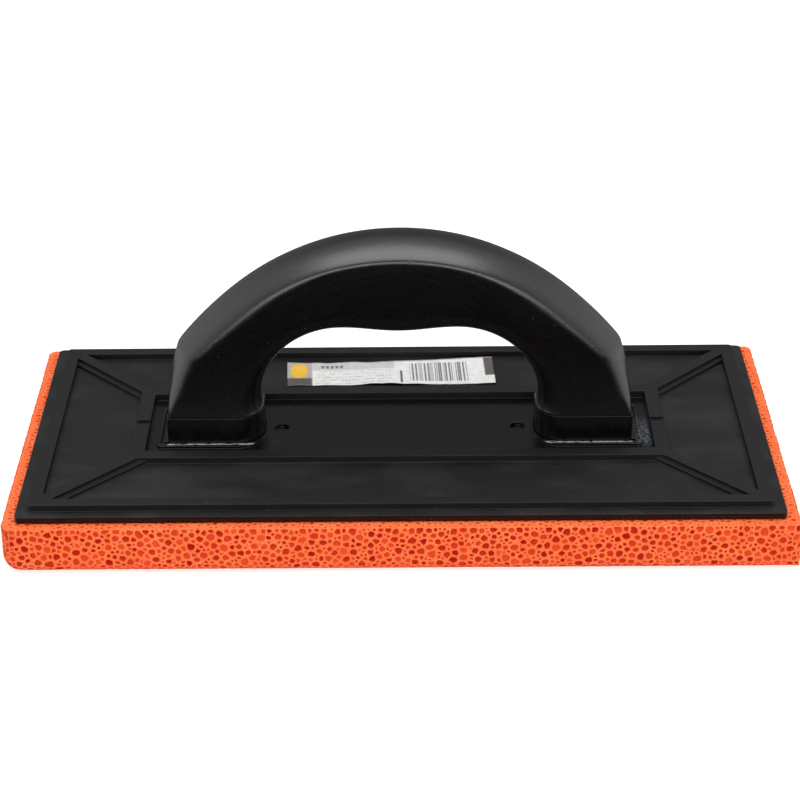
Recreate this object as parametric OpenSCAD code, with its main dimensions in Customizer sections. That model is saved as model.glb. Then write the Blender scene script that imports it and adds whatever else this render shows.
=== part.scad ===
// Sponge-faced grout float: a soft sponge pad bonded to a ribbed plastic
// backing plate, with a hollow D-shaped handle screwed on from below.
// Millimetres. +X runs along the float, +Z is up, and the origin is the
// middle of the sponge's working face.

/* [Sponge pad] */
// Length of the sponge pad
pad_l = 280; // [240:1:320]
// Width of the sponge pad
pad_w = 140; // [130:1:160]
// Thickness of the sponge pad
pad_t = 18.5; // [10:0.5:30]
// Radius of the pad's upright corners
pad_r = 3; // [1:0.5:8]
// Thickness of the adhesive between pad and plate
glue_t = 0.3; // [0.2:0.1:0.6]

/* [Backing plate] */
// How far the pad stands out past the plate on every side
pad_overhang = 5; // [2:0.5:8]
// Thickness of the plate's outer ledge
ledge_t = 2.4; // [2:0.1:4]
// Width of the outer ledge
ledge_w = 4.1; // [2.5:0.1:7]
// Width of the raised rim
rim_w = 4.8; // [3:0.1:7]
// Height of the rim, the island and the ribs above the ledge
rim_h = 2.5; // [1.5:0.1:4]
// Thickness of the plate under its four shallow trays
tray_t = 2.25; // [1.8:0.05:2.4]
// Width of the diagonal ribs
rib_w = 4.4; // [3:0.1:6]
// Length of the raised island under the handle
island_l = 196.4; // [190:0.2:204]
// Width of the raised island
island_w = 54.4; // [50:0.2:64]
// Width of the island's bars
island_bar = 5.3; // [4:0.1:6.5]
// Thickness of the plate inside the island's pocket
pocket_t = 2.1; // [1.8:0.1:2.4]

/* [Handle] */
// Height of the grip's crest above the plate's ledge
grip_h = 78.4; // [74:0.2:90]
// Width of the grip, front to back
grip_w = 28; // [24:0.5:32]
// Radius of the grip's crest, seen from the front
crest_r = 93.9; // [92:0.1:96]
// Height of the finger gap's roof above the ledge
gap_h = 45; // [42:0.5:48]
// Depth of the bump between the two finger hollows
finger_bump = 1.55; // [0:0.05:2.5]
// Wall of the hollow handle
grip_wall = 3; // [2:0.1:4]

/* [Feet and screws] */
// Inner face of each foot, from the middle of the float
foot_in = 50; // [48:0.1:51]
// Outer face of each foot, from the middle of the float
foot_out = 85.3; // [84.5:0.1:86]
// Width of each foot, front to back
foot_w = 27; // [24:0.5:28]
// Height of each foot above the pocket's floor
foot_h = 11; // [9:0.5:13]
// Shank diameter of the self-tapping screws
screw_d = 4; // [3:0.1:4.5]
// Distance between the two screws of one foot
screw_pitch = 15.5; // [14.5:0.5:16]

/* [Hidden] */
$fn = 48;

// a hair of overlap that keeps fused shapes from only touching
eps = 0.01;
// overlap between stacked shapes, and reach of a cutter that runs right through
lap = 1;
through = 60;
// free play between the handle's hollow leg and the foot's spigot
spigot_play = 0.3;
// free play of a screw in its hole through the plate
screw_play = 0.5;
// free play of a screw's core in the foot's pilot bore
thread_play = 0.1;
// free play between a foot and the ring that locates it
ring_play = 0.15;

// levels, from the sponge's working face up
z_glue = pad_t;
z_plate = z_glue + glue_t;
z_ledge = z_plate + ledge_t;
z_rim = z_ledge + rim_h;
z_tray = z_plate + tray_t;
z_pocket = z_plate + pocket_t;
z_seam = z_pocket + foot_h;

// plan sizes of the plate
plate_l = pad_l - 2 * pad_overhang;
plate_w = pad_w - 2 * pad_overhang;
plate_r = 2;
rim_l = plate_l - 2 * ledge_w;
rim_out_w = plate_w - 2 * ledge_w;
tray_l = rim_l - 2 * rim_w;
tray_w = rim_out_w - 2 * rim_w;
pocket_l = island_l - 2 * island_bar;
pocket_w = island_w - 2 * island_bar;

// corner radii of the rim, the island and the pocket
rim_r = 1.5;
island_r = 1;
pocket_r = 0.8;
inside_r = 0.6;

// low step along each side of a rib
rib_step = 1.9;
rib_step_h = 1.25;

// notches across the island's end bars, and dimples in the pocket
notch_w = 3.2;
notch_deep = 1.3;
dimple_d = 5.6;
dimple_x = 43.9;
dimple_deep = 1.1;

// ring that locates each foot on the pocket's floor
ring_h = 1;
ring_front = 2.3;
ring_inner = 1.1;
ring_outer = 3.9;
ring_wall = 1.3;
ring_r = 1.6;
foot_r_in = 10;
foot_r_out = 1.5;
// low flange along the outer foot of each block
flange_w = 1.3;
flange_h = 1.2;

// screws, the bosses they pass through and the posts they bite into
head_d = 8;
head_h = 2.6;
head_sink = 3.2;
slot_l = 4.6;
slot_w = 1;
slot_deep = 1.4;
screw_l = 14;
tip_l = 3;
tip_d = 1.4;
boss_d = 12;
boss_h = 3.4;
post_d = 9.6;
pilot_h = 20;
screw_x = (foot_in + foot_out) / 2;

// hollow of the feet, and the spigots that fill the handle's legs
foot_wall = 2.6;
foot_deck = 3;
spigot_h = 12;
spigot_wall = 2;
spigot_r_in = 6.5;
spigot_r_out = 3;
// the leg leans inwards, so the spigot stands this far back from its outer wall
spigot_back = 2.6;

// label on the back tray, a little left of the middle and nearer the rim
label_l = 79;
label_w = 19;
label_t = 0.2;
label_r = 1;
label_x = -3.6;
label_y = (tray_w + island_w) / 4 + 1.5;

// ---- curves of the handle, seen from the front, heights above the ledge ----

// the crest is one arc to the shoulder, then a flatter arc, then a straight leg
shoulder_a = 40;
flat_r = 137;
flat_a = 12.2;
crest_z = grip_h - crest_r;
shoulder = [crest_r * sin(shoulder_a), crest_z + crest_r * cos(shoulder_a)];
flat_c = shoulder - flat_r * [sin(shoulder_a), cos(shoulder_a)];
knee_a = shoulder_a + flat_a;
knee = flat_c + flat_r * [sin(knee_a), cos(knee_a)];
seam_h = z_seam - z_ledge;
leg_out = foot_out - 0.4;
leg_bow = 0.9;

// the finger gap is a wave between two hollows, then an arc down to the leg
leg_in = foot_in + 1.1;
gap_r = 30;
hollow_x = leg_in - gap_r;
flare_h = 5;

// section of the grip: crown of its crest, and radii of its upper and lower edges
crown = 3;
foot_crown = 0.05;
edge_r = 3.6;
palm_r = 8;
core_r = 0.8;

// how many stations there are along each stretch of the grip
n_crest = 9;
n_flat = 4;
n_leg = 7;
n_half = n_crest + n_flat + n_leg;

// outer outline from the crest (k = 0) to the seam (k = n_half)
function outer_at(k) =
    k <= n_crest
        ? let (a = shoulder_a * k / n_crest) [crest_r * sin(a), crest_z + crest_r * cos(a)]
    : k <= n_crest + n_flat
        ? let (a = shoulder_a + flat_a * (k - n_crest) / n_flat)
              flat_c + flat_r * [sin(a), cos(a)]
    : let (s = (k - n_crest - n_flat) / n_leg)
          knee * (1 - s) + [leg_out, seam_h] * s + [leg_bow * sin(180 * s), 0];

// share of the way down the inner outline that faces station k
function inner_share(k) = pow(k / n_half, 0.92);
arc_len = gap_r * PI / 2;
drop_len = gap_h - gap_r - seam_h;
inner_len = hollow_x + arc_len + drop_len;

// inner outline: wave, quarter arc, then a straight drop that flares at the seam
function inner_at(k) =
    let (s = inner_len * inner_share(k))
    s <= hollow_x
        ? [s, gap_h - finger_bump * (1 + cos(180 * s / hollow_x)) / 2]
    : s <= hollow_x + arc_len
        ? let (a = (s - hollow_x) / gap_r * 180 / PI)
              [hollow_x + gap_r * sin(a), gap_h - gap_r + gap_r * cos(a)]
    : let (z = gap_h - gap_r - (s - hollow_x - arc_len), f = max(0, 1 - (z - seam_h) / flare_h))
          [leg_in - 1 * f * f, z];

// how far the section has turned from grip (0) to square foot (1)
function footness(k) = let (s = max(0, (k - n_crest) / (n_half - n_crest))) s * s * (3 - 2 * s);
function mix(a, b, s) = a + (b - a) * s;

// one section as [y, height] points, height measured from the inner outline; the
// crown's slope at its edge carries on into the upper edge's arc
arc_n = 6;
function section(w, h, r_in, r_out, crown) = let (
    half = w / 2,
    first = atan(2 * crown / (half - r_out)),
    slope = atan(2 * crown / (half - r_out + r_out * sin(first))),
    reach = half - r_out + r_out * sin(slope),
    right = concat(
        [for (i = [0:arc_n]) let (a = -90 + 90 * i / arc_n)
            [half - r_in + r_in * cos(a), r_in + r_in * sin(a)]],
        [for (i = [0:arc_n]) let (a = (90 - slope) * i / arc_n)
            [half - r_out + r_out * cos(a), h - crown + r_out * (sin(a) - cos(slope))]],
        [for (i = [1:3]) let (y = reach * (1 - i / 3))
            [y, h - crown * pow(y / reach, 2)]]),
    left = [for (i = [len(right) - 2:-1:0]) [-right[i][0], right[i][1]]])
    concat(right, left);

// section points placed between an inner and an outer point of the outline
function place(sec, a, b) = let (u = (b - a) / norm(b - a))
    [for (p = sec) [a[0] + u[0] * p[1], p[0], a[1] + u[1] * p[1]]];

// every ring of points along the handle, shrunk by inset for the hollow core
function rings(inset) = [for (i = [-n_half:n_half]) let (
    k = abs(i),
    side = i < 0 ? -1 : 1,
    a = inner_at(k),
    b = outer_at(k),
    f = footness(k),
    u = (b - a) / norm(b - a),
    sec = section(mix(grip_w, foot_w, f) - 2 * inset, norm(b - a) - 2 * inset,
                  mix(palm_r, foot_r_in, f) - inset,
                  max(mix(edge_r, foot_r_out, f) - inset, core_r),
                  mix(crown, foot_crown, f)),
    ring = place(sec, a + u * inset, b - u * inset))
    side > 0 ? ring : [for (p = ring) [-p[0], p[1], p[2]]]];

// a solid skinned over rings of points, closed by a fan at each end
module skin(rs) {
    n = len(rs[0]);
    m = len(rs);
    points = [for (r = rs) for (p = r) p];
    sides = [for (j = [0:m - 2]) for (i = [0:n - 1]) let (
        a = j * n + i, b = j * n + (i + 1) % n)
        each [[a, a + n, b], [b, a + n, b + n]]];
    caps = [for (i = [1:n - 2]) each [[0, i, i + 1],
        [(m - 1) * n, (m - 1) * n + i + 1, (m - 1) * n + i]]];
    polyhedron(points, concat(sides, caps));
}

// the core's end rings are repeated a little lower, so that the legs stay open
function opened(rs, drop) = concat(
    [[for (p = rs[0]) p - [0, 0, drop]]], rs, [[for (p = rs[len(rs) - 1]) p - [0, 0, drop]]]);

// ---- plan shapes ----

// rectangle with rounded corners
module plan(l, w, r) {
    union() {
        square([l - 2 * r, w], center = true);
        square([l, w - 2 * r], center = true);
        for (x = [-1, 1], y = [-1, 1])
            translate([x * (l / 2 - r), y * (w / 2 - r)]) circle(r = r);
    }
}

// flat slab with rounded upright corners, standing on z = 0
module slab(l, w, h, r) {
    linear_extrude(height = h) plan(l, w, r);
}

// frame between two rectangles
module frame(l, w, bar, h, r) {
    difference() {
        slab(l, w, h, r);
        translate([0, 0, -lap])
            slab(l - 2 * bar, w - 2 * bar, h + 2 * lap, max(r - bar, inside_r));
    }
}

// plan of a right foot: large radius on the inner corners, small on the outer
module foot_plan(x_in, x_out, w, r_in, r_out) {
    union() {
        translate([x_in, r_in - w / 2]) square([r_in + lap, w - 2 * r_in]);
        translate([x_in + r_in, -w / 2]) square([x_out - r_out - x_in - r_in, w]);
        translate([x_out - r_out - lap, r_out - w / 2]) square([r_out + lap, w - 2 * r_out]);
        for (s = [-1, 1]) {
            translate([x_in + r_in, s * (w / 2 - r_in)]) circle(r = r_in);
            translate([x_out - r_out, s * (w / 2 - r_out)]) circle(r = r_out);
        }
    }
}

// children at the two screws of the right foot
module at_screws() {
    for (s = [-1, 1]) translate([screw_x + s * screw_pitch / 2, 0, 0]) children();
}

// children on both sides of the float
module both_sides() {
    children();
    mirror([1, 0, 0]) children();
}

// ---- parts ----

module sponge_pad() {
    color([0.93, 0.36, 0.16]) slab(pad_l, pad_w, pad_t, pad_r);
}

module adhesive_layer() {
    color([0.85, 0.8, 0.62])
        translate([0, 0, z_glue]) slab(plate_l - 2, plate_w - 2, glue_t, plate_r);
}

// diagonal from a corner of the island to the rim's matching corner; it starts inside
// the island's bar, so that its whole width grows from it
module rib_plan(w) {
    end = [tray_l / 2 + lap, tray_w / 2 + lap];
    turn = atan2(end[1] - island_w / 2, end[0] - island_l / 2);
    root = rib_w / 2 + rib_step + lap;
    start = [island_l / 2, island_w / 2] - root * [cos(turn), sin(turn)];
    translate([start[0], start[1]]) rotate([0, 0, turn])
        translate([0, -w / 2]) square([norm(end - start), w]);
}

// raised ring that locates one foot
module foot_ring() {
    translate([0, 0, z_pocket - eps]) linear_extrude(height = ring_h + eps)
        difference() {
            foot_plan(foot_in - ring_inner, foot_out + ring_outer, foot_w + 2 * ring_front,
                      foot_r_in + ring_inner, ring_r);
            foot_plan(foot_in - ring_play, foot_out + ring_outer - ring_wall,
                      foot_w + 2 * ring_play, foot_r_in, island_r);
        }
}

module backing_plate() {
    color([0.13, 0.13, 0.135]) difference() {
        union() {
            // base of the plate, with the trays' floor a little under the ledge
            translate([0, 0, z_plate]) slab(plate_l, plate_w, tray_t, plate_r);
            translate([0, 0, z_plate]) frame(plate_l, plate_w, ledge_w + rim_w / 2, ledge_t, plate_r);
            translate([0, 0, z_plate + lap]) linear_extrude(height = z_rim - z_plate - lap)
                union() {
                    difference() {
                        plan(rim_l, rim_out_w, rim_r);
                        plan(tray_l, tray_w, inside_r);
                    }
                    difference() {
                        union() {
                            plan(island_l, island_w, island_r);
                            for (a = [0, 1], b = [0, 1]) mirror([a, 0, 0]) mirror([0, b, 0])
                                rib_plan(rib_w);
                        }
                        plan(pocket_l, pocket_w, pocket_r);
                    }
                }
            for (a = [0, 1], b = [0, 1]) mirror([a, 0, 0]) mirror([0, b, 0])
                translate([0, 0, z_tray - eps]) linear_extrude(height = rib_step_h)
                    rib_plan(rib_w + 2 * rib_step);
            both_sides() at_screws() translate([0, 0, z_plate + lap])
                cylinder(d = boss_d, h = pocket_t + boss_h - lap);
        }
        // pocket in the island, around the bosses of the screws
        difference() {
            translate([0, 0, z_pocket]) slab(pocket_l, pocket_w, through, pocket_r);
            both_sides() at_screws() cylinder(d = boss_d, h = through);
        }
        both_sides() {
            translate([dimple_x, 0, z_pocket - dimple_deep]) cylinder(d = dimple_d, h = through);
            translate([pocket_l / 2 - lap, -notch_w / 2, z_rim - notch_deep])
                cube([island_bar + 2 * lap, notch_w, notch_deep + lap]);
            at_screws() {
                translate([0, 0, z_plate - lap])
                    cylinder(d = head_d + screw_play, h = head_sink + lap);
                cylinder(d = screw_d + screw_play, h = through);
            }
        }
    }
    color([0.13, 0.13, 0.135]) both_sides() foot_ring();
}

module handle() {
    color([0.1, 0.1, 0.105]) translate([0, 0, z_ledge]) difference() {
        skin(rings(0));
        skin(opened(rings(grip_wall), 4));
    }
}

// one foot: hollow block, low outer flange, spigot for the leg and two posts
module right_foot() {
    spigot_in = leg_in + grip_wall + spigot_play;
    spigot_out = leg_out - grip_wall - spigot_back;
    spigot_w = min(foot_w, grip_w) - 2 * grip_wall - 2 * spigot_play;
    color([0.11, 0.11, 0.115]) difference() {
        union() {
            difference() {
                union() {
                    translate([0, 0, z_pocket]) linear_extrude(height = foot_h)
                        foot_plan(foot_in, foot_out, foot_w, foot_r_in, foot_r_out);
                    translate([foot_out - foot_wall, lap - foot_w / 2, z_pocket])
                        cube([foot_wall + flange_w, foot_w - 2 * lap, flange_h]);
                }
                translate([0, 0, z_pocket - lap])
                    linear_extrude(height = foot_h - foot_deck + lap)
                        foot_plan(foot_in + foot_wall, foot_out - foot_wall,
                                  foot_w - 2 * foot_wall, foot_r_in - foot_wall, inside_r);
            }
            translate([0, 0, z_seam - lap]) linear_extrude(height = spigot_h + lap)
                foot_plan(spigot_in, spigot_out, spigot_w, spigot_r_in, spigot_r_out);
            at_screws() translate([0, 0, z_pocket + boss_h])
                cylinder(d = post_d, h = foot_h - boss_h);
        }
        // hollow of the spigot, around its two posts
        difference() {
            translate([0, 0, z_seam]) linear_extrude(height = spigot_h + lap)
                foot_plan(spigot_in + spigot_wall, spigot_out - spigot_wall,
                          spigot_w - 2 * spigot_wall, spigot_r_in - spigot_wall,
                          spigot_r_out - spigot_wall);
            at_screws() cylinder(d = post_d, h = through);
        }
        at_screws() translate([0, 0, z_pocket])
            cylinder(d = screw_d + thread_play, h = pilot_h);
    }
}

module left_foot() {
    mirror([1, 0, 0]) right_foot();
}

// self-tapping screw with a cross slot, head down and its tip up in the post
module screw() {
    translate([0, 0, z_plate + head_sink - head_h]) difference() {
        union() {
            cylinder(d = head_d, h = head_h);
            cylinder(d = screw_d, h = head_h + screw_l);
            translate([0, 0, head_h + screw_l]) cylinder(d1 = screw_d, d2 = tip_d, h = tip_l);
        }
        for (a = [0, 90]) rotate([0, 0, a])
            translate([-slot_l / 2, -slot_w / 2, -lap]) cube([slot_l, slot_w, slot_deep + lap]);
    }
}

module handle_screws() {
    color([0.72, 0.73, 0.75]) both_sides() at_screws() screw();
}

module product_label() {
    color([0.92, 0.92, 0.9])
        translate([label_x, label_y, z_tray]) slab(label_l, label_w, label_t, label_r);
}

sponge_pad();
adhesive_layer();
backing_plate();
handle();
left_foot();
right_foot();
handle_screws();
product_label();
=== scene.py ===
import bmesh
import bpy
import math
import random
from mathutils import Matrix, Vector, noise
from mathutils.geometry import delaunay_2d_cdt


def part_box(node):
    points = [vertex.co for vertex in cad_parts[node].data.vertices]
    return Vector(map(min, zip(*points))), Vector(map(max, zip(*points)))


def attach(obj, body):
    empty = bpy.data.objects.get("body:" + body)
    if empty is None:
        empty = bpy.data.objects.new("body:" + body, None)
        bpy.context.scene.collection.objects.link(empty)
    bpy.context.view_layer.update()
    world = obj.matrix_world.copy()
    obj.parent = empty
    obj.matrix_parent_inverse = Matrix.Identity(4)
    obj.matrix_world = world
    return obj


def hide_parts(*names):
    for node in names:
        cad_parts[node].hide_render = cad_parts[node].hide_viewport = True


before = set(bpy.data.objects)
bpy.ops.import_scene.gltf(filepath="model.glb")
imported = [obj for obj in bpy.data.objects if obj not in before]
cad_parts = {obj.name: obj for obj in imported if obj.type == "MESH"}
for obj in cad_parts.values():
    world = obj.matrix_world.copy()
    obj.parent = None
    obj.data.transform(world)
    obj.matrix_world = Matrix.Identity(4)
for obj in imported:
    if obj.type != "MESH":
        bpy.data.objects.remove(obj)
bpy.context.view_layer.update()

# the model is worked out in millimetres and stored in metres
MM = 0.001


# ---------------------------------------------------------------- levels and sizes

def box_mm(node):
    low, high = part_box(node)
    return low / MM, high / MM


pad_high = box_mm("sponge_pad")[1]
plate_low = box_mm("backing_plate")[0]
grip_low, grip_high = box_mm("handle")
foot_high = box_mm("right_foot")[1]
label_low = box_mm("product_label")[0]

PAD_L = pad_high.x * 2
PAD_W = pad_high.y * 2
PAD_T = pad_high.z
LEDGE_T = 2.4
Z_LEDGE = plate_low.z + LEDGE_T
Z_TRAY = label_low.z
Z_SEAM = grip_low.z

# the pocket that the feet stand in: half its length and width, and a level just over its floor
POCKET_X = 92.9
POCKET_Y = 21.9
Z_POCKET = 22.4


# ---------------------------------------------------------------- shader sums

class Value:
    """A number socket that can be used in ordinary sums; each operator adds a Math node."""

    def __init__(self, made, socket):
        self.made = made
        self.socket = socket

    def math(self, operation, *others):
        return self.made.add("ShaderNodeMath", {"operation": operation}, [self, *others])

    def __add__(self, other):
        return self.math("ADD", other)

    def __radd__(self, other):
        return self.math("ADD", other)

    def __sub__(self, other):
        return self.math("SUBTRACT", other)

    def __rsub__(self, other):
        return self.made.add("ShaderNodeMath", {"operation": "SUBTRACT"}, [other, self])

    def __mul__(self, other):
        return self.math("MULTIPLY", other)

    def __truediv__(self, other):
        return self.math("DIVIDE", other)

    def __pow__(self, other):
        return self.math("POWER", other)

    def size(self):
        return self.math("ABSOLUTE")

    def fract(self):
        return self.math("FRACT")

    def step(self, low, high):
        """0 below low, 1 above high, smooth between."""
        return self.made.add("ShaderNodeMapRange", {"interpolation_type": "SMOOTHSTEP"},
                             {"Value": self, "From Min": low, "From Max": high})

    def within(self, reach, soft):
        """1 nearer to zero than reach, 0 beyond it."""
        return self.size().step(reach + soft, reach - soft)

    def ramp(self, low, high, to_low, to_high):
        return self.made.add("ShaderNodeMapRange", {},
                             {"Value": self, "From Min": low, "From Max": high,
                              "To Min": to_low, "To Max": to_high})


class Finish:
    """One material, or the studio's sky, and its nodes."""

    def __init__(self, name, kind="materials", shader="Principled BSDF"):
        self.material = getattr(bpy.data, kind).new(name)
        self.material.use_nodes = True
        self.tree = self.material.node_tree
        self.shader = self.tree.nodes[shader]

    def plug(self, socket, value):
        if isinstance(value, Value):
            self.tree.links.new(value.socket, socket)
        else:
            socket.default_value = value

    def node(self, kind, settings, inputs):
        """A node of any type: settings first, then values or links of its sockets."""
        made = self.tree.nodes.new(kind)
        for key, value in settings.items():
            setattr(made, key, value)
        if isinstance(inputs, dict):
            for key, value in inputs.items():
                self.plug(made.inputs[key], value)
        else:
            for key, value in enumerate(inputs):
                self.plug(made.inputs[key], value)
        return made

    def add(self, kind, settings, inputs, output=0):
        return Value(self, self.node(kind, settings, inputs).outputs[output])

    def place(self):
        """Position on the piece in millimetres, as the frame has it."""
        spot = self.add("ShaderNodeTexCoord", {}, [], "Object")
        return self.add("ShaderNodeVectorMath", {"operation": "SCALE"},
                        {0: spot, "Scale": 1 / MM})

    def stretched(self, spot, x, y, z):
        return self.add("ShaderNodeVectorMath", {"operation": "MULTIPLY"}, [spot, (x, y, z)])

    def parts(self, spot):
        split = self.node("ShaderNodeSeparateXYZ", {}, [spot])
        return [Value(self, split.outputs[i]) for i in range(3)]

    def noise(self, spot, size, detail=2.0, rough=0.5):
        """Soft noise whose lumps are about size millimetres across, 0 to 1."""
        return self.add("ShaderNodeTexNoise", {},
                        {"Vector": spot, "Scale": 1 / size, "Detail": detail,
                         "Roughness": rough})

    def cells(self, spot, size):
        """Distance to the nearest of many scattered points, about size millimetres apart."""
        return self.add("ShaderNodeTexVoronoi", {}, {"Vector": spot, "Scale": 1 / size}, "Distance")

    def attribute(self, name):
        return self.add("ShaderNodeAttribute", {"attribute_name": name}, [], "Fac")

    def blend(self, share, first, second):
        """Colour between first (share 0) and second (share 1)."""
        made = self.node("ShaderNodeMix", {"data_type": "RGBA"}, [])
        self.plug(made.inputs[0], share)
        self.plug(made.inputs[6], first)
        self.plug(made.inputs[7], second)
        return Value(self, made.outputs[2])

    def bump(self, height, distance, strength=1.0):
        return self.add("ShaderNodeBump", {},
                        {"Strength": strength, "Distance": distance * MM, "Height": height})

    def set(self, **values):
        for key, value in values.items():
            self.plug(self.shader.inputs[key.replace("_", " ")], value)


def grey(level):
    return (level, level, level, 1)


# ---------------------------------------------------------------- finishes

def foam_finish():
    """Cast open-cell foam: bright skin on the webs, and painted shade that turns the colour a
    deeper red down into the cells.
    """
    m = Finish("orange_foam")
    spot = m.place()
    depth = m.attribute("cell_depth")
    tone = m.attribute("cell_pit_shade")
    skin = m.attribute("skin")
    mottle = m.noise(spot, 9.0, 3.0)
    fine = m.noise(spot, 0.9, 3.0, 0.6)
    web = m.blend(mottle.step(0.35, 0.7), (0.86, 0.14, 0.036, 1), (0.88, 0.18, 0.05, 1))
    web = m.blend(skin * fine.step(0.35, 0.75) * 0.7, web, (0.83, 0.2, 0.078, 1))
    # painted shade: the colour darkens with depth down each cell, more so in cells with a bigger
    # shade share
    cell = m.blend(tone, (0.76, 0.07, 0.012, 1), (0.56, 0.01, 0.0012, 1))
    colour = m.blend(depth.step(0.02, 0.62), web, cell)
    # painted shade: small dark specks on the webs for pits too small to model, also dented in by
    # the bump
    shaded_pit_speck = m.cells(spot, 0.75).step(0.28, 0.2) * (1 - depth.step(0.0, 0.3)) * fine.step(0.4, 0.6)
    colour = m.blend(shaded_pit_speck * 0.55, colour, (0.72, 0.05, 0.014, 1))
    grain = m.noise(spot, 0.35, 2.0) * 0.6 + fine * 0.4 - shaded_pit_speck * 0.8
    m.set(Base_Color=colour, Normal=m.bump(grain, 0.22, 0.9))
    m.set(Roughness=0.82, Specular_IOR_Level=0.25)
    return m.material


def moulded_plastic(name, level, streak, shine, rough=None):
    """Injection-moulded black plastic with a fine eroded texture and faint flow streaks.

    streak is the flow's stretch along x, y and z, or None on the grip, where the flow
    runs along the grip. Without rough, the caller sets the roughness."""
    m = Finish(name)
    spot = m.place()
    grain = m.noise(spot, 0.22, 3.0, 0.6)
    sink = m.noise(spot, 14.0, 2.0)
    if streak:
        flow = m.noise(m.stretched(spot, *streak), 1.2, 4.0, 0.6)
    else:
        lie = m.add("ShaderNodeCombineXYZ", {},
                    [m.attribute("run") * 0.06, m.attribute("girth"), 0.0])
        flow = m.noise(lie, 1.0, 5.0, 0.7)
    dust = m.cells(spot, 3.1).step(0.075, 0.045) * m.noise(spot, 20.0, 1.0).step(0.5, 0.62)
    base = m.blend(flow.step(0.3, 0.8), grey(level), grey(level * 1.7))
    base = m.blend(dust * 0.6, base, grey(0.16))
    if rough:
        m.set(Roughness=flow.ramp(0.3, 0.7, rough - 0.02, rough + 0.03) + sink * 0.06 - 0.03)
    pebble = m.noise(spot, 0.7, 3.0, 0.7)
    m.set(Normal=m.bump(grain * 0.4 + pebble * 0.8 + flow * 0.06 + sink * 2.5, 0.045, 0.9))
    m.set(Base_Color=base, Specular_IOR_Level=shine)
    return m, base


def plate_finish():
    """The plate's plastic: glossier in the pocket, dusty on the trays, with a painted highlight
    along the front of the feet.
    """
    m, base = moulded_plastic("plate_plastic", 0.0022, (0.12, 1.0, 1.0), 0.36)
    spot = m.place()
    x, y, z = m.parts(spot)
    pocket = (x.within(POCKET_X, 0.5) * y.within(POCKET_Y, 0.5)
              * z.step(Z_POCKET + 0.2, Z_POCKET - 0.2))
    skirt = z.step(Z_LEDGE - 0.2, Z_LEDGE - 0.5)
    m.set(Roughness=m.noise(spot, 12.0, 2.0) * 0.08 + 0.48 - pocket * 0.25 - skirt * 0.3)
    # cloudy dust lying on the trays, with a fine pale grain in it
    cloud = m.noise(m.stretched(spot, 0.6, 1.0, 1.0), 16.0, 2.0).step(0.4, 0.68)
    grit = m.noise(spot, 0.6, 2.0).step(0.55, 0.78)
    dusty = cloud * z.step(Z_LEDGE + 0.4, Z_LEDGE) * (1 - pocket) * (1 - skirt)
    colour = m.blend(dusty * (0.25 + grit * 0.4), base, grey(0.035))
    colour = m.blend(grit * 0.12, colour, grey(0.05))
    # painted highlight: a pale line along the front of each foot's ring, broken up by noise
    highlight_break = m.noise(m.stretched(spot, 0.4, 1.0, 1.0), 0.9, 3.0)
    painted_highlight_line = (y.step(-15.0, -14.6) * y.step(-13.4, -13.7) * x.size().step(50.5, 53.0)
            * x.size().step(86.0, 84.5) * z.step(21.6, 21.8) * highlight_break.step(0.32, 0.5))
    colour = m.blend(painted_highlight_line * 0.8, colour, grey(0.42))
    # chalky film in the pocket beyond the right foot
    chalk = m.noise(spot, 1.3, 3.0).step(0.38, 0.62)
    film = (x.step(86.5, 88.0) * x.step(93.0, 92.0) * y.step(-17.0, -12.0) * y.step(9.0, -2.0)
            * pocket * chalk)
    m.set(Base_Color=m.blend(film * 0.5, colour, (0.15, 0.175, 0.22, 1)))
    return m.material


def grip_finish():
    return moulded_plastic("grip_plastic", 0.0007, None, 1.0, 0.26)[0].material


def foot_finish():
    return moulded_plastic("foot_plastic", 0.0006, (0.3, 1.0, 0.3), 0.6, 0.27)[0].material


def steel_finish():
    m = Finish("zinc_plated_steel")
    spot = m.place()
    wipe = m.noise(m.stretched(spot, 1.0, 1.0, 0.15), 0.3, 3.0)
    m.set(Base_Color=m.blend(wipe, (0.55, 0.54, 0.5, 1), (0.72, 0.7, 0.66, 1)))
    m.set(Metallic=1.0, Roughness=wipe.ramp(0.2, 0.8, 0.25, 0.42))
    m.set(Normal=m.bump(wipe, 0.01, 0.4))
    return m.material


def glue_finish():
    m = Finish("amber_glue")
    spot = m.place()
    blot = m.noise(spot, 2.4, 3.0)
    m.set(Base_Color=m.blend(blot.step(0.3, 0.7), (0.1, 0.035, 0.012, 1), (0.2, 0.09, 0.03, 1)))
    m.set(Roughness=blot.ramp(0.3, 0.7, 0.35, 0.6), Normal=m.bump(blot, 0.08, 0.6))
    return m.material


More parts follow.
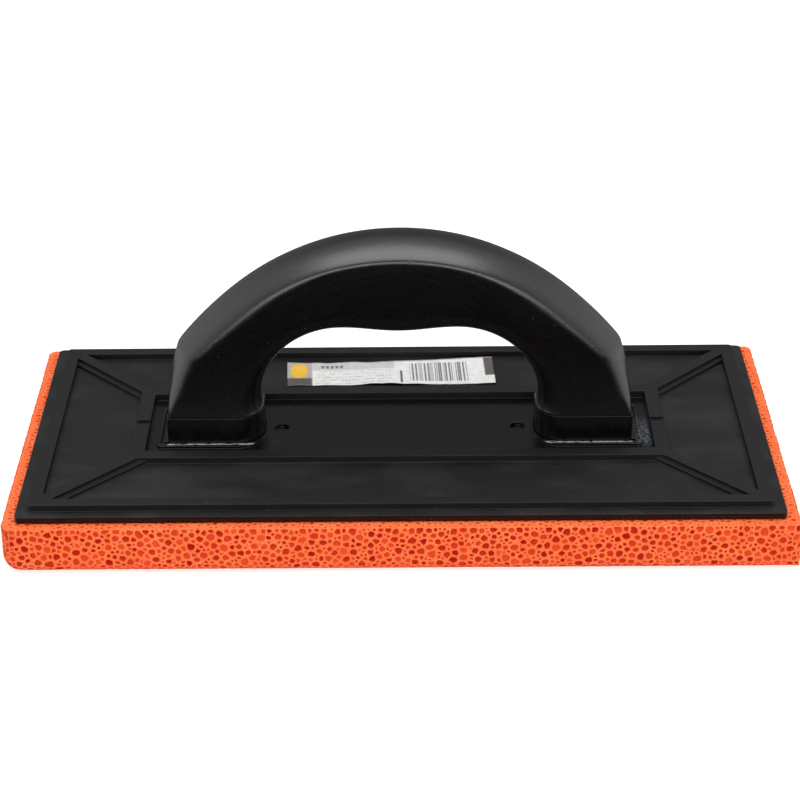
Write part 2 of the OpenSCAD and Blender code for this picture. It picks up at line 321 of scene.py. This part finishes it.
def label_finish():
    """Printed film: a dark end with a yellow patch, a white sheet with grey rows, and bars."""
    m = Finish("label_print")
    u = m.attribute("along")
    v = m.attribute("across")
    spot = m.place()
    worn = m.noise(spot, 2.2, 3.0)
    fine = m.noise(spot, 0.5, 2.0)

    def patch(u0, u1, v0, v1, soft=0.006):
        return (u.step(u0 - soft, u0 + soft) * u.step(u1 + soft, u1 - soft)
                * v.step(v0 - soft * 4, v0 + soft * 4) * v.step(v1 + soft * 4, v1 - soft * 4))

    paper = m.blend(worn.step(0.3, 0.7), (0.78, 0.78, 0.765, 1), (0.88, 0.88, 0.87, 1))
    film = m.blend(worn, (0.36, 0.34, 0.33, 1), (0.5, 0.48, 0.46, 1))
    dark = m.blend(worn, (0.085, 0.07, 0.066, 1), (0.13, 0.11, 0.105, 1))
    colour = m.blend(patch(0.0, 0.12, -0.1, 1.1), paper, film)
    colour = m.blend(patch(-0.1, 0.118, -0.1, 0.33), colour, dark)
    lump = (((u - 0.057) / 0.041).size() ** 2.8 + ((v - 0.645) / 0.3).size() ** 2.8
            + (m.noise(spot, 1.6, 2.0) - 0.5) * 1.3)
    colour = m.blend(lump.step(1.05, 0.85), colour, (0.86, 0.5, 0.03, 1))
    glint = lump.step(0.45, 0.3) * fine.step(0.45, 0.6)
    colour = m.blend(glint * 0.5, colour, (0.9, 0.62, 0.1, 1))
    colour = m.blend(patch(0.12, 0.52, 0.66, 1.1, 0.008) * 0.55, colour, film)
    # rows of small grey blocks where lettering would be
    column = (u * 62.0).fract()
    row = (v * 7.5).fract()
    words = column.step(0.15, 0.25) * row.step(0.35, 0.45) * row.step(0.85, 0.75)
    broken = m.noise(m.stretched(spot, 0.6, 1.0, 1.0), 1.1, 1.0).step(0.42, 0.52)
    rows = words * broken * patch(0.14, 0.5, 0.06, 0.62)
    colour = m.blend(rows * 0.5, colour, grey(0.28))
    digit = ((u - 0.16) * 44.0).fract()
    head = digit.step(0.15, 0.3) * digit.step(0.95, 0.8) * patch(0.16, 0.2736, 0.74, 0.86)
    colour = m.blend(head * 0.85, colour, grey(0.1))
    # a run of plain bars of uneven width
    lie = m.add("ShaderNodeCombineXYZ", {}, [u * 100.0, 0.0, 0.0])
    bars = m.noise(lie, 0.85, 0.0).step(0.47, 0.53)
    colour = m.blend(bars * patch(0.594, 0.872, 0.12, 0.86) * 0.82, colour, grey(0.07))
    colour = m.blend(patch(0.545, 0.556, 0.05, 0.55, 0.003), colour, grey(0.12))
    colour = m.blend(patch(0.955, 1.1, 0.3, 1.1, 0.004), colour, dark)
    edge = v.step(0.93, 0.99) * u.step(0.3, 0.4)
    colour = m.blend(edge * 0.7, colour, film)
    colour = m.blend(fine.step(0.6, 0.8) * 0.12, colour, grey(0.35))
    m.set(Base_Color=colour, Roughness=worn.ramp(0.3, 0.7, 0.3, 0.5))
    m.set(Normal=m.bump(worn + fine * 0.2, 0.12, 0.5))
    return m.material


def floor_finish():
    m = Finish("studio_floor")
    spot = m.place()
    m.set(Base_Color=m.blend(m.noise(spot, 60.0), grey(0.5), grey(0.52)), Roughness=0.9)
    m.set(Specular_IOR_Level=0.1, Emission_Color=grey(1.0), Emission_Strength=0.7)
    return m.material


# ---------------------------------------------------------------- common mesh helpers

def new_piece(name, points, faces, material):
    """An object from points in millimetres."""
    mesh = bpy.data.meshes.new(name)
    mesh.from_pydata([Vector(p) * MM for p in points], [], faces)
    mesh.validate()
    mesh.materials.append(material)
    for face in mesh.polygons:
        face.use_smooth = True
    piece = bpy.data.objects.new(name, mesh)
    bpy.context.scene.collection.objects.link(piece)
    return piece


def float_layer(mesh, name, values):
    """A number at each point of the mesh, for its material to read."""
    mesh.attributes.new(name, "FLOAT", "POINT").data.foreach_set("value", values)


def sewn_up(mesh, gap):
    """Points closer than gap, in metres, become one, and every face looks outwards."""
    work = bmesh.new()
    work.from_mesh(mesh)
    bmesh.ops.remove_doubles(work, verts=work.verts, dist=gap)
    bmesh.ops.recalc_face_normals(work, faces=work.faces)
    work.to_mesh(mesh)
    work.free()


def stands_for(piece, node):
    """The piece rides on the float's one body and takes the node's place."""
    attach(piece, "root")
    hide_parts(node)


# an edge is sharp where its faces turn by more than this, in degrees
SHARP_EDGE = 28
SHARP_SHADE = 60


def softened(node, name, width, material):
    """A copy of a moulded node whose sharp edges are rounded, as tooling leaves them."""
    work = bmesh.new()
    work.from_mesh(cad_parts[node].data)
    for vertex in work.verts:
        vertex.co = vertex.co / MM
    bmesh.ops.remove_doubles(work, verts=work.verts, dist=0.002)
    bmesh.ops.dissolve_limit(work, angle_limit=math.radians(0.8), verts=work.verts,
                             edges=work.edges, delimit=set())
    sharp = [e for e in work.edges
             if len(e.link_faces) == 2 and e.calc_face_angle(0) > math.radians(SHARP_EDGE)]
    bmesh.ops.bevel(work, geom=sharp, offset=width, offset_type="OFFSET", segments=2,
                    profile=0.5, affect="EDGES", clamp_overlap=True, harden_normals=False)
    bmesh.ops.triangulate(work, faces=work.faces)
    for vertex in work.verts:
        vertex.co = vertex.co * MM
    mesh = bpy.data.meshes.new(name)
    work.to_mesh(mesh)
    work.free()
    mesh.materials.clear()
    mesh.materials.append(material)
    for face in mesh.polygons:
        face.use_smooth = True
        face.material_index = 0
    piece = bpy.data.objects.new(name, mesh)
    bpy.context.scene.collection.objects.link(piece)
    weigh = piece.modifiers.new("normals", "WEIGHTED_NORMAL")
    weigh.keep_sharp = False
    weigh.weight = 80
    mesh.set_sharp_from_angle(angle=math.radians(SHARP_SHADE))
    stands_for(piece, node)


# ---------------------------------------------------------------- foam block

FOAM_SEED = 7
EDGE_R = 0.9
CORNER_R = 3.2

# the block's plan: straight runs between the corners, and the way all round
RUN_X = PAD_L / 2 - CORNER_R
RUN_Y = PAD_W / 2 - CORNER_R
AROUND = 4 * (RUN_X + RUN_Y) + 2 * math.pi * CORNER_R

# the side's height measured along its surface, over both rounded edges
BEND = EDGE_R * math.pi / 2
TALL = 2 * BEND + PAD_T - 2 * EDGE_R

# points along the outline, and between the cells on the rounded edges
OUTLINE_STEPS = int(AROUND / 1.5)
END_STEPS = 12
FILL_STEPS = int(AROUND / 0.9)

# cells thrown: smallest and largest radius, and tries per square millimetre
SIDE_CELLS = ((1.15, 1.6, 0.2), (0.8, 1.1, 1.2), (0.55, 0.75, 2.4), (0.32, 0.42, 0.35))
TOP_CELLS = ((0.7, 1.0, 0.9), (0.4, 0.65, 3.0), (0.22, 0.35, 3.0))
WORKING_CELLS = ((1.5, 2.1, 0.5), (1.0, 1.4, 0.8), (0.6, 0.8, 0.5))
TOP_STRIP = 7.5

# a cell's reach is measured along this many rays, past neighbours up to this far away
RAYS = 24
FAR = 7

# squares that cells are looked up in, and how far outlines stay inside the sheet
GRID = 2.0
SHEET_EDGE = 0.04

# the worn lower corner's radius, and how deep the upper face's skin goes
WORN_R = 6.5
SKIN_T = 0.6


class Cell:
    """One open cell of the foam, as an outline in the flat and how deep it goes."""

    def __init__(self, x, y, r):
        self.x = x
        self.y = y
        self.r = r
        self.outline = []
        self.depth = 0.0
        self.tone = 0.0


def home(x, y, pitch):
    """The square that a point is in."""
    return int(x / pitch), int(y / pitch)


def nearby(grid, x, y, pitch, reach):
    """What the grid's squares hold round a point, up to reach squares away."""
    gx, gy = home(x, y, pitch)
    steps = range(-reach, reach + 1)
    return [c for i in steps for j in steps for c in grid.get((gx + i, gy + j), ())]


def thrown(rng, width, height, inside, classes, gap):
    """Cells thrown at random on a sheet, biggest first, each clear of the others."""
    grid = {}
    cells = []
    for r_low, r_high, tries in classes:
        for _ in range(int(tries * width * height)):
            r = rng.uniform(r_low, r_high)
            x = rng.uniform(r * 0.7, width - r * 0.7)
            y = rng.uniform(r * 0.45, height - r * 0.45)
            if not inside(x, y, r):
                continue
            near = nearby(grid, x, y, GRID, 2)
            if all((c.x - x) ** 2 + (c.y - y) ** 2 > (c.r + r + gap) ** 2 for c in near):
                cell = Cell(x, y, r)
                cells.append(cell)
                grid.setdefault(home(x, y, GRID), []).append(cell)
    return cells, grid


def cell_limits(rng, cell, grid, width, height, web):
    """Lines that the cell may not cross, as distance and direction: the sheet's edges and
    the webs towards its neighbours."""
    limits = [(cell.x - 0.05, math.pi), (width - cell.x - 0.05, 0.0),
              (cell.y - 0.05, -math.pi / 2), (height - cell.y - 0.05, math.pi / 2)]
    for other in nearby(grid, cell.x, cell.y, GRID, 2):
        if other is cell:
            continue
        dx = other.x - cell.x
        dy = other.y - cell.y
        far = math.hypot(dx, dy)
        if far > FAR:
            continue
        reach = (far * far + cell.r ** 2 - other.r ** 2) / (2 * far)
        limits.append((reach - web * rng.uniform(0.4, 1.0), math.atan2(dy, dx)))
    return limits


def shape_cells(rng, cells, grid, width, height, web, per_mm, swell):
    """Each cell swells towards its neighbours until only a web is left between them.

    per_mm is how many more corners a cell has for each millimetre of its size."""
    for cell in cells:
        limits = cell_limits(rng, cell, grid, width, height, web)
        cap = cell.r * rng.uniform(*swell)
        wave = rng.uniform(0, 6.3)
        lean = rng.uniform(0.0, 0.4)
        rays = []
        for k in range(RAYS):
            a = 2 * math.pi * k / RAYS
            reach = cap * (1 + lean * math.cos(2 * (a - wave)) + 0.07 * math.cos(3 * a + wave * 2))
            for far, turn in limits:
                c = math.cos(a - turn)
                if c > 0.05:
                    reach = min(reach, far / c)
            rays.append(max(reach, 0.08))
        mean = sum(rays) / RAYS
        count = max(4, min(9, int(round(3.0 + mean * per_mm))))
        start = rng.uniform(0, RAYS)
        for k in range(count):
            at = (start + RAYS * (k + rng.uniform(-0.16, 0.16)) / count) % RAYS
            low = int(at)
            share = at - low
            reach = rays[low % RAYS] * (1 - share) + rays[(low + 1) % RAYS] * share
            reach *= rng.uniform(0.8, 1.0)
            a = 2 * math.pi * at / RAYS
            x = min(max(cell.x + reach * math.cos(a), SHEET_EDGE), width - SHEET_EDGE)
            y = min(max(cell.y + reach * math.sin(a), SHEET_EDGE), height - SHEET_EDGE)
            cell.outline.append((x, y))
        # each cell's share of painted shade; cells with more of it also go deeper
        cell.tone = rng.random()
        cell.depth = mean * (0.4 + 0.75 * cell.tone)


class Foam:
    """The block's points and faces as they grow, and what the finish reads at each point."""

    def __init__(self):
        self.points = []
        self.faces = []
        self.depth = []
        self.tone = []

    def point(self, place, depth, tone):
        self.points.append(place)
        self.depth.append(depth)
        self.tone.append(tone)
        return len(self.points) - 1

    def sheet(self, cells, border, place, out, rings):
        """Webs between the cells as one triangulated sheet, and a pit under each cell.

        border holds the flat points that the sheet must have. place turns a flat point
        into a point of the block, and out gives the direction out of the block there."""
        flat = [Vector(p) for p in border]
        loops = []
        for cell in cells:
            loops.append(list(range(len(flat), len(flat) + len(cell.outline))))
            flat.extend(Vector(p) for p in cell.outline)
        verts, _, tris, _, _, origin = delaunay_2d_cdt(flat, [], loops, 0, 1e-5, True)
        base = len(self.points)
        found = {}
        for v in verts:
            found[(round(v.x, 4), round(v.y, 4))] = self.point(place(v.x, v.y), 0.0, 0.0)
        for tri, inside in zip(tris, origin):
            if not inside:
                self.faces.append([base + k for k in tri])
        for cell, loop in zip(cells, loops):
            rim = [found.get((round(flat[k].x, 4), round(flat[k].y, 4))) for k in loop]
            if None not in rim:
                self.pit(cell, rim, -out(cell.x, cell.y), rings)

    def pit(self, cell, rim, down, rings):
        """Walls that narrow from the rim down to the cell's floor."""
        edge = [self.points[k] for k in rim]
        n = len(rim)
        centre = sum(edge, Vector()) / n
        last = rim
        for share, spread in rings:
            # each ring keeps its depth down the pit and the cell's shade share, which the finish
            # paints as shade
            level = down * (cell.depth * share)
            now = [self.point(centre + (p - centre) * spread + level, 0.25 + 0.75 * share,
                              cell.tone) for p in edge]
            for k in range(n):
                self.faces.append([last[k], last[(k + 1) % n], now[(k + 1) % n], now[k]])
            last = now
        hub = self.point(centre + down * cell.depth, 1.0, cell.tone)
        for k in range(n):
            self.faces.append([last[k], last[(k + 1) % n], hub])


def plan_point(s, inset):
    """Point and outward direction at distance s round the block's plan."""
    arc = CORNER_R * math.pi / 2
    runs = ((2 * RUN_X, Vector((-RUN_X, -RUN_Y))), (2 * RUN_Y, Vector((RUN_X, -RUN_Y))),
            (2 * RUN_X, Vector((RUN_X, RUN_Y))), (2 * RUN_Y, Vector((-RUN_X, RUN_Y))))
    for side, (length, start) in enumerate(runs):
        a = side * math.pi / 2
        along = Vector((math.cos(a), math.sin(a)))
        if s <= length:
            out = Vector((along.y, -along.x))
            return start + along * s + out * (CORNER_R - inset), out
        s -= length
        if s <= arc or side == 3:
            a += min(s / CORNER_R, math.pi / 2) - math.pi / 2
            out = Vector((math.cos(a), math.sin(a)))
            return start + along * length + out * (CORNER_R - inset), out
        s -= arc


def side_profile(t):
    """Inset from the side, height and slope at distance t up from the working face."""
    if t < BEND:
        a = t / EDGE_R
        return EDGE_R * (1 - math.sin(a)), EDGE_R * (1 - math.cos(a)), a - math.pi / 2
    if t <= TALL - BEND:
        return 0.0, EDGE_R + t - BEND, 0.0
    a = (t - (TALL - BEND)) / EDGE_R
    return EDGE_R * (1 - math.cos(a)), PAD_T - EDGE_R * (1 - math.sin(a)), a


def side_point(s, t):
    """The block's point at distance s round the plan and t up the side."""
    inset, z, _ = side_profile(min(max(t, 0.0), TALL))
    p = plan_point(min(max(s, 0.0), AROUND), inset)[0]
    return Vector((p.x, p.y, z))


def side_out(s, t):
    """The direction straight out of the side there."""
    a = side_profile(t)[2]
    out = plan_point(s, 0)[1]
    return Vector((out.x * math.cos(a), out.y * math.cos(a), math.sin(a)))


def foam_sides(foam, rng):
    """The four sides as one sheet, unrolled: distance round the plan by distance up."""
    cells, grid = thrown(rng, AROUND, TALL, lambda x, y, r: True, SIDE_CELLS, 0.1)
    shape_cells(rng, cells, grid, AROUND, TALL, 0.3, 3.4, (1.7, 3.2))
    border = []
    for k in range(OUTLINE_STEPS + 1):
        border.append((AROUND * k / OUTLINE_STEPS, 0.0))
        border.append((AROUND * k / OUTLINE_STEPS, TALL))
    for k in range(1, END_STEPS):
        border.append((0.0, TALL * k / END_STEPS))
        border.append((AROUND, TALL * k / END_STEPS))
    taken = {}
    for c in cells:
        taken.setdefault(home(c.x, c.y, 3), []).append((c.x, c.y, (c.r + 0.3) ** 2 * 1.9))
    # points between the cells that keep the rounded edges round
    for k in range(FILL_STEPS):
        s = AROUND * (k + 0.5) / FILL_STEPS
        for t in (BEND * 0.5, BEND, TALL - BEND, TALL - BEND * 0.5):
            near = nearby(taken, s, t, 3, 1)
            if all((x - s) ** 2 + (y - t) ** 2 > gap for x, y, gap in near):
                border.append((s, t))
    foam.sheet(cells, border, side_point, side_out, ((0.3, 0.97), (0.75, 0.72)))


def foam_face(foam, rng, up, strip, classes, gap, per_mm, rings):
    """The upper or the working face. strip is how far in the cells go, or None for all."""
    half = Vector((PAD_L / 2, PAD_W / 2))
    turn = 1 if up else -1
    z = PAD_T if up else 0.0

    def inside(x, y, r):
        gone_x = half.x - abs(x - half.x) - EDGE_R
        gone_y = half.y - abs(y - half.y) - EDGE_R
        corner = min(gone_x, gone_y)
        if gone_x < 4 and gone_y < 4:
            corner = min(corner, 4 - math.hypot(4 - gone_x, 4 - gone_y))
        return r * 2.3 < corner and (strip is None or corner < strip)

    cells, grid = thrown(rng, PAD_L, PAD_W, inside, classes, gap)
    shape_cells(rng, cells, grid, PAD_L, PAD_W, 0.5, per_mm, (1.1, 1.5))
    edge = [side_point(AROUND * k / OUTLINE_STEPS, TALL if up else 0.0)
            for k in range(OUTLINE_STEPS)]
    foam.sheet(cells, [(p.x + half.x, p.y * turn + half.y) for p in edge],
               lambda x, y: Vector((x - half.x, (y - half.y) * turn, z)),
               lambda x, y: Vector((0, 0, turn)), rings)


def settled(p):
    """Small unevenness of the cut block, and one lower corner worn round."""
    q = p.copy()
    sway = noise.noise(p * 0.045) * 0.35 + noise.noise(p * 0.35 + Vector((9, 2, 5))) * 0.12
    side = Vector((p.x / PAD_L * 2, p.y / PAD_W * 2))
    if max(abs(side.x), abs(side.y)) > 0.94:
        if abs(side.x) > abs(side.y):
            q.x -= math.copysign(abs(sway), side.x)
        if abs(side.y) >= 0.9:
            q.y -= math.copysign(abs(sway) * 0.7, side.y)
    corner = Vector((WORN_R - PAD_L / 2, WORN_R - PAD_W / 2, WORN_R))
    gone = Vector([min(a - b, 0) for a, b in zip(q, corner)])
    if gone.length > WORN_R:
        q += gone.normalized() * (WORN_R - gone.length)
    return q


def foam_block(material):
    """The sponge: open cells on every side, over the working face and round the plate."""
    rng = random.Random(FOAM_SEED)
    foam = Foam()
    foam_sides(foam, rng)
    foam_face(foam, rng, True, TOP_STRIP, TOP_CELLS, 0.45, 4.5, ((0.35, 0.93),))
    foam_face(foam, rng, False, None, WORKING_CELLS, 0.25, 2.2, ((0.6, 0.8),))
    points = [settled(p) for p in foam.points]
    block = new_piece("foam_block", points, foam.faces, material)
    # depth and shade share at each point, for the painted shade in the cells
    float_layer(block.data, "cell_depth", foam.depth)
    float_layer(block.data, "cell_pit_shade", foam.tone)
    float_layer(block.data, "skin", [1.0 if p.z > PAD_T - SKIN_T else 0.0 for p in points])
    sewn_up(block.data, 0.005 * MM)
    stands_for(block, "sponge_pad")


# ---------------------------------------------------------------- handle

GRIP_W = grip_high.y * 2
FOOT_W = foot_high.y * 2
GRIP_H = grip_high.z - Z_LEDGE
SEAM_H = Z_SEAM - Z_LEDGE

# outer outline: an arc over the crest, a flatter one down the shoulder, then the leg
CREST_R = 93.9
SHOULDER_A = 40
FLAT_R = 137
FLAT_A = 12.2
LEG_OUT = grip_high.x
LEG_BOW = 0.9

# finger gap: its height over the ledge, the wave along its top and its corners
GAP_H = 45
GAP_R = 30
LEG_IN = 51.1
WAVE_H = 1.55
WAVE_X = LEG_IN - GAP_R
TOE_H = 5

# stations along half the grip, from the crest down to the seam over the foot
SHOULDER = 9
KNEE = 13
SEAM = 20

# the section's lower and upper edges and its crown, at the crest and at the seam
LOWER_R = (8, 10)
UPPER_R = (3.6, 1.5)
CROWN = (3.0, 0.05)
ARC_STEPS = 9
CROWN_STEPS = 6

# how much rounder and prouder the shoulders are
SWELL_R = 5.0
SWELL_H = 0.5

# rings along half the grip; stations on the inside bunch up towards the crest
RINGS = 84
BUNCHED = 0.92


def turned(radius, degrees):
    a = math.radians(degrees)
    return Vector((radius * math.sin(a), radius * math.cos(a)))


def outer_at(k):
    """Outer outline from the crest to the seam, seen from the front."""
    crest = Vector((0, GRIP_H - CREST_R))
    flat = crest + turned(CREST_R, SHOULDER_A) - turned(FLAT_R, SHOULDER_A)
    if k <= SHOULDER:
        return crest + turned(CREST_R, SHOULDER_A * k / SHOULDER)
    if k <= KNEE:
        share = (k - SHOULDER) / (KNEE - SHOULDER)
        return flat + turned(FLAT_R, SHOULDER_A + FLAT_A * share)
    s = (k - KNEE) / (SEAM - KNEE)
    knee = flat + turned(FLAT_R, SHOULDER_A + FLAT_A)
    leg = knee * (1 - s) + Vector((LEG_OUT, SEAM_H)) * s
    return leg + Vector((LEG_BOW * math.sin(math.pi * s), 0))


def inner_at(k):
    """Inner outline that faces station k: finger wave, quarter arc, straight drop."""
    arc = GAP_R * math.pi / 2
    drop = GAP_H - GAP_R - SEAM_H
    s = (WAVE_X + arc + drop) * (k / SEAM) ** BUNCHED
    if s <= WAVE_X:
        return Vector((s, GAP_H - WAVE_H * (1 + math.cos(math.pi * s / WAVE_X)) / 2))
    if s <= WAVE_X + arc:
        a = (s - WAVE_X) / GAP_R
        return Vector((WAVE_X + GAP_R * math.sin(a), GAP_H - GAP_R + GAP_R * math.cos(a)))
    z = GAP_H - GAP_R - (s - WAVE_X - arc)
    f = max(0.0, 1 - (z - SEAM_H) / TOE_H)
    return Vector((LEG_IN - f * f, z))


def grip_section(w, h, r_in, r_out, crown):
    """One section: rounded lower edges, rounded upper edges and a crown between them."""
    half = w / 2
    slope = math.atan(2 * crown / (half - r_out))
    slope = math.atan(2 * crown / (half - r_out + r_out * math.sin(slope)))
    reach = half - r_out + r_out * math.sin(slope)
    right = []
    for i in range(ARC_STEPS + 1):
        a = math.radians(-90 + 90 * i / ARC_STEPS)
        right.append((half - r_in + r_in * math.cos(a), r_in + r_in * math.sin(a)))
    for i in range(ARC_STEPS + 1):
        a = (math.pi / 2 - slope) * i / ARC_STEPS
        z = h - crown + r_out * (math.sin(a) - math.cos(slope))
        right.append((half - r_out + r_out * math.cos(a), z))
    for i in range(1, CROWN_STEPS + 1):
        y = reach * (1 - i / CROWN_STEPS)
        right.append((y, h - crown * (y / reach) ** 2))
    return right + [(-y, z) for y, z in reversed(right[1:-1])] + [(-right[0][0], right[0][1])]


def blend_number(ends, s):
    return ends[0] + (ends[1] - ends[0]) * s


def smooth(s):
    """0 below 0, 1 above 1, with an even start and stop."""
    s = min(max(s, 0.0), 1.0)
    return s * s * (3 - 2 * s)


def shoulder_swell(k):
    """How much rounder the upper edges are at station k: most at the shoulder."""
    return smooth((k - 3) / 8) * (1 - smooth((k - 16) / 4))


def grip_ring(k):
    """The section's points at station k, in the frame."""
    a = inner_at(k)
    b = outer_at(k)
    swell = shoulder_swell(k)
    b = b + (b - a).normalized() * SWELL_H * swell
    f = smooth((k - SHOULDER) / (SEAM - SHOULDER))
    span = b - a
    section = grip_section(blend_number((GRIP_W, FOOT_W), f), span.length,
                           blend_number(LOWER_R, f),
                           blend_number(UPPER_R, f) + SWELL_R * swell,
                           blend_number(CROWN, f))
    u = span.normalized()
    return [Vector((a.x + u.x * h, y, a.y + u.y * h + Z_LEDGE)) for y, h in section]


def leg_lips(last):
    """Two small rings that turn the leg's end in at the seam."""
    middle = sum(last, Vector()) / len(last)
    lips = []
    for inset, rise in ((0.12, 0.06), (0.35, 0.0)):
        lip = []
        for p in last:
            out = Vector((p.x - middle.x, p.y - middle.y, 0)).normalized()
            lip.append(Vector((p.x, p.y, Z_SEAM + rise)) - out * inset)
        lips.append(lip)
    return lips


def handle(material):
    """The D-shaped grip, a closed skin whose legs end in a small rounded lip."""
    half = [grip_ring(SEAM * i / RINGS) for i in range(RINGS + 1)]
    last = half.pop()
    half.append([Vector((p.x, p.y, Z_SEAM + 0.35)) for p in last])
    half += leg_lips(last)
    whole = [[Vector((-p.x, p.y, p.z)) for p in ring] for ring in reversed(half[1:])] + half
    n = len(last)
    points = [p for ring in whole for p in ring]
    faces = []
    for j in range(0, len(points) - n, n):
        for i in range(n):
            k = (i + 1) % n
            faces.append([j + i, j + k, j + n + k, j + n + i])
    faces.append(list(range(n)))
    faces.append(list(range(len(points) - 1, len(points) - n - 1, -1)))
    piece = new_piece("handle_grip", points, faces, material)
    # distance along the grip and round it, which its flow streaks follow
    run = [0.0]
    for a, b in zip(whole, whole[1:]):
        run.append(run[-1] + (sum(b, Vector()) - sum(a, Vector())).length / n)
    girth = []
    for ring in whole:
        reach = 0.0
        for i, p in enumerate(ring):
            girth.append(reach)
            reach += (ring[(i + 1) % n] - p).length
    float_layer(piece.data, "run", [d for d in run for _ in range(n)])
    float_layer(piece.data, "girth", girth)
    sewn_up(piece.data, 0.01 * MM)
    stands_for(piece, "handle")


# ---------------------------------------------------------------- label

LABEL_STEPS = 96
LABEL_ROWS = 22
FILM_T = 0.12


def label(material):
    """Thin printed film, a little askew and wrinkled, its right end lifting to the rim."""
    low_left = Vector((-43.2, 32.8))
    low_right = Vector((37.1, 33.3))
    high_left = Vector((-43.9, 51.1))
    high_right = Vector((36.3, 54.6))
    top = []
    along = []
    across = []
    for j in range(LABEL_ROWS + 1):
        for i in range(LABEL_STEPS + 1):
            u = i / LABEL_STEPS
            v = j / LABEL_ROWS
            p = low_left.lerp(low_right, u).lerp(high_left.lerp(high_right, u), v)
            ripple = noise.noise(Vector((u * 9, v * 2.5, 3.1)))
            fold = noise.noise(Vector((u * 3.2, v * 1.4, 8.7)))
            edge = noise.noise(Vector((u * 14, 1.7, 0.4)))
            p.y += (v - 0.5) * edge * 0.9
            lift = 0.22 + max(0.0, fold) * 1.1 + abs(ripple) * 0.4
            lift += max(0.0, u - 0.6) * v * 2.4
            top.append(Vector((p.x, p.y, Z_TRAY + lift)))
            along.append(u)
            across.append(v)
    under = [p - Vector((0, 0, FILM_T)) for p in top]
    row = LABEL_STEPS + 1
    count = len(top)
    faces = []
    for j in range(LABEL_ROWS):
        for a in range(j * row, j * row + LABEL_STEPS):
            faces.append([a, a + 1, a + row + 1, a + row])
            faces.append([count + a, count + a + row, count + a + row + 1, count + a + 1])
    loop = list(range(LABEL_STEPS))
    loop += range(LABEL_STEPS, count - 1, row)
    loop += range(count - 1, count - row, -1)
    loop += range(count - row, 0, -row)
    for a, b in zip(loop, loop[1:] + loop[:1]):
        faces.append([a, count + a, count + b, b])
    piece = new_piece("label_film", top + under, faces, material)
    float_layer(piece.data, "along", along * 2)
    float_layer(piece.data, "across", across * 2)
    stands_for(piece, "product_label")


# ---------------------------------------------------------------- studio

def studio_floor(material):
    size = 5000.0
    points = [(-size, -size, -0.05), (size, -size, -0.05), (size, size, -0.05),
              (-size, size, -0.05)]
    floor = new_piece("studio_floor", points, [[0, 1, 2, 3]], material)
    floor.visible_glossy = False


def soft_light(name, spot, aim, width, depth, power, glossy=True, diffuse=True):
    lamp = bpy.data.lights.new(name, "AREA")
    lamp.shape = "RECTANGLE"
    lamp.size = width
    lamp.size_y = depth
    lamp.energy = power
    holder = bpy.data.objects.new(name, lamp)
    holder.location = spot
    holder.rotation_euler = (Vector(aim) - Vector(spot)).to_track_quat("-Z", "Y").to_euler()
    holder.visible_glossy = glossy
    holder.visible_diffuse = diffuse
    bpy.context.scene.collection.objects.link(holder)


def studio_world():
    """Pale overhead and at both sides, dimmer behind, dark low down in front."""
    sky = Finish("pale_studio", "worlds", "Background")
    spot = sky.add("ShaderNodeTexCoord", {}, [], "Generated")
    x, y, z = sky.parts(spot)
    dark = (1 - y.step(-0.85, -0.35)) * (1 - z.step(-0.1, 0.15))
    low = (0.15 + x * x * 0.85) * (1 - dark)
    high = z.step(0.4, 0.95)
    glow = low * (1 - high) + high * 0.85
    sky.plug(sky.shader.inputs["Color"], sky.blend(glow, grey(0.0), grey(1.0)))
    sky.plug(sky.shader.inputs["Strength"], 1.0)
    bpy.context.scene.world = sky.material


def camera():
    data = bpy.data.cameras.new("camera")
    data.sensor_width = 36
    data.lens = 105.43
    data.shift_x = 0.0321
    data.clip_start = 0.01
    data.clip_end = 50
    holder = bpy.data.objects.new("camera", data)
    aim = (Matrix.Rotation(math.radians(0.799), 4, "Z")
           @ Matrix.Rotation(math.radians(61.99), 4, "X")
           @ Matrix.Rotation(math.radians(-0.779), 4, "Z"))
    holder.matrix_world = Matrix.Translation(Vector((1.368, -766.662, 440.095)) * MM) @ aim
    bpy.context.scene.collection.objects.link(holder)
    bpy.context.scene.camera = holder


def studio():
    studio_world()
    studio_floor(floor_finish())
    soft_light("overhead", (0, -0.3, 0.95), (0, -0.3, 0), 1.0, 1.5, 8.2)
    soft_light("front", (0, -1.45, 1.15), (0, 0, 0), 1.7, 0.9, 8, glossy=False)
    soft_light("low_front", (0, -1.25, 0.27), (0, 0, 0.12), 1.6, 0.3, 4.8, diffuse=False)
    bpy.context.scene.view_settings.view_transform = "Standard"
    bpy.context.scene.view_settings.look = "None"
    camera()


# ---------------------------------------------------------------- assembly

def dress(node, material):
    """A carried-over node takes its finish in every material slot."""
    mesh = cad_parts[node].data
    if not mesh.materials:
        mesh.materials.append(material)
    for k in range(len(mesh.materials)):
        mesh.materials[k] = material


grip_black = grip_finish()
foot_black = foot_finish()
plate_black = plate_finish()

studio()
foam_block(foam_finish())
handle(grip_black)
softened("backing_plate", "moulded_plate", 0.35, plate_black)
softened("left_foot", "left_foot_block", 0.3, foot_black)
softened("right_foot", "right_foot_block", 0.3, foot_black)
label(label_finish())
dress("handle_screws", steel_finish())
dress("adhesive_layer", glue_finish())
